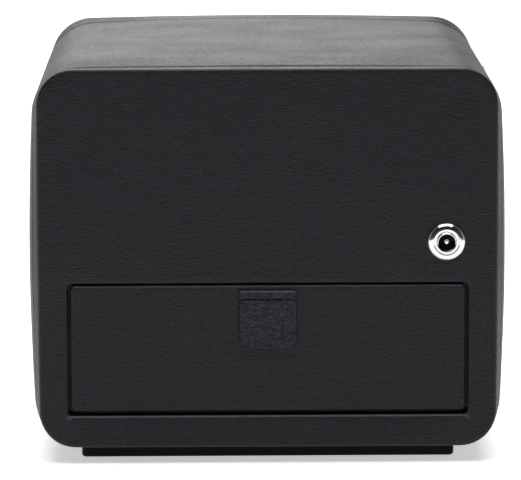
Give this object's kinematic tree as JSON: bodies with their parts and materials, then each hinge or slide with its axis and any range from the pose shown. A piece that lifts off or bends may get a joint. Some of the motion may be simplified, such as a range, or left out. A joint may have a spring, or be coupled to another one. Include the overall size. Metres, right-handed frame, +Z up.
{
  "type": "watch winder box",
  "caption": "Leather-wrapped single watch winder box with a glass front door, geared winding drum with cuff, rear battery compartment and DC inlet.",
  "frame": {"origin": "middle of the plinth's underside", "axes": "+Z up, +Y towards the back with the battery door and inlet, -Y towards the glass door"},
  "size_m": [0.1749, 0.1835, 0.1444],
  "materials": {
    "black_board": "black painted board",
    "black_plastic": "moulded, fine texture",
    "board": "raw fibreboard",
    "brass": "turned",
    "case_leather": "fine grained black artificial leather, satin",
    "chrome": "polished",
    "circuit_board": "solder mask",
    "cuff_fabric": "padded black suede cloth",
    "glass": "clear",
    "lead_sleeve": "soft insulated lead",
    "led": "diffused lens",
    "magnet": "nickel plated magnet",
    "steel": "zinc plated",
    "velvet": "short black pile",
    "white_plastic": "moulded acetal"
  },
  "bodies": {
    "case": {"shell_core": "board", "shell_leather": "case_leather", "rear_panel_core": "board", "rear_panel_leather": "case_leather", "plinth": "black_board", "chamber_lining": "black_board", "fascia": "black_board", "partition_board": "board", "partition_screws": "steel", "bearing_housing": "black_plastic", "shaft_bushes": "brass", "gear_motor": "steel", "gearbox": "black_plastic", "gearbox_screws": "steel", "control_board": "circuit_board", "board_components": "black_plastic", "board_spacers": "white_plastic", "board_screws": "steel", "switch_body": "black_plastic", "led_lens": "led", "dc_jack_shell": "chrome", "dc_jack_insulator": "black_plastic", "dc_jack_pin": "chrome", "dc_jack_nut": "steel", "battery_tray": "black_plastic", "battery_spring_contact": "steel", "battery_plate_contact": "steel", "tray_screws": "steel", "tray_strike_plates": "steel", "case_strike_plates": "steel", "case_hinge_leaves": "steel", "case_hinge_screws": "steel", "hinge_pins": "steel", "jack_lead": "lead_sleeve", "battery_lead": "lead_sleeve", "motor_lead": "lead_sleeve"},
    "front_door": {"door_frame_core": "board", "door_frame_leather": "case_leather", "door_glass": "glass", "glass_retainer": "black_plastic", "door_hinge_leaves": "steel", "door_hinge_screws": "steel", "door_magnets": "magnet", "door_knob": "chrome", "knob_screw": "steel"},
    "battery_door": {"battery_door_core": "board", "battery_door_leather": "case_leather", "battery_door_magnets": "magnet", "pull_tab_anchor": "case_leather"},
    "pull_tab": {"pull_tab_flap": "case_leather"},
    "drum": {"drum_cup": "black_plastic", "drum_lining": "velvet", "drum_trim_ring": "chrome", "drum_gear": "white_plastic", "drum_shaft": "steel", "shaft_clip": "steel"},
    "watch_cuff": {"cuff_core": "black_plastic", "cuff_pad": "cuff_fabric"},
    "drive_pinion": {"motor_pinion": "brass"},
    "button": {"power_button": "chrome"}
  },
  "joints": [
    {"name": "front_door_swing", "type": "hinge", "parent": "case", "child": "front_door", "pos_m": [-0.0865, -0.0722, 0.0749], "axis": [0, 0, -1], "range_deg": [0, 105]},
    {"name": "battery_door_tilt", "type": "hinge", "parent": "case", "child": "battery_door", "pos_m": [0, 0.0857, 0.0192], "axis": [-1, 0, 0], "range_deg": [0, 75]},
    {"name": "pull_tab_flex", "type": "hinge", "parent": "battery_door", "child": "pull_tab", "pos_m": [0, 0.0864, 0.0592], "axis": [1, 0, 0], "range_deg": [0, 80]},
    {"name": "drum_spin", "type": "hinge", "parent": "case", "child": "drum", "pos_m": [0, 0, 0.0749], "axis": [0, 1, 0], "continuous": true},
    {"name": "pinion_spin", "type": "hinge", "parent": "case", "child": "drive_pinion", "pos_m": [-0.027, 0, 0.10707], "axis": [0, 1, 0], "continuous": true},
    {"name": "cuff_pull", "type": "slide", "parent": "drum", "child": "watch_cuff", "axis": [0, -1, 0], "range_m": [0, 0.012]},
    {"name": "button_press", "type": "slide", "parent": "case", "child": "button", "axis": [0, 1, 0], "range_m": [0, 0.0012], "stiffness_N_per_m": 150, "springref_m": -0.0005}
  ],
  "couplings": [
    {"joint": "pinion_spin", "follows": "drum_spin", "ratio": -6}
  ]
}
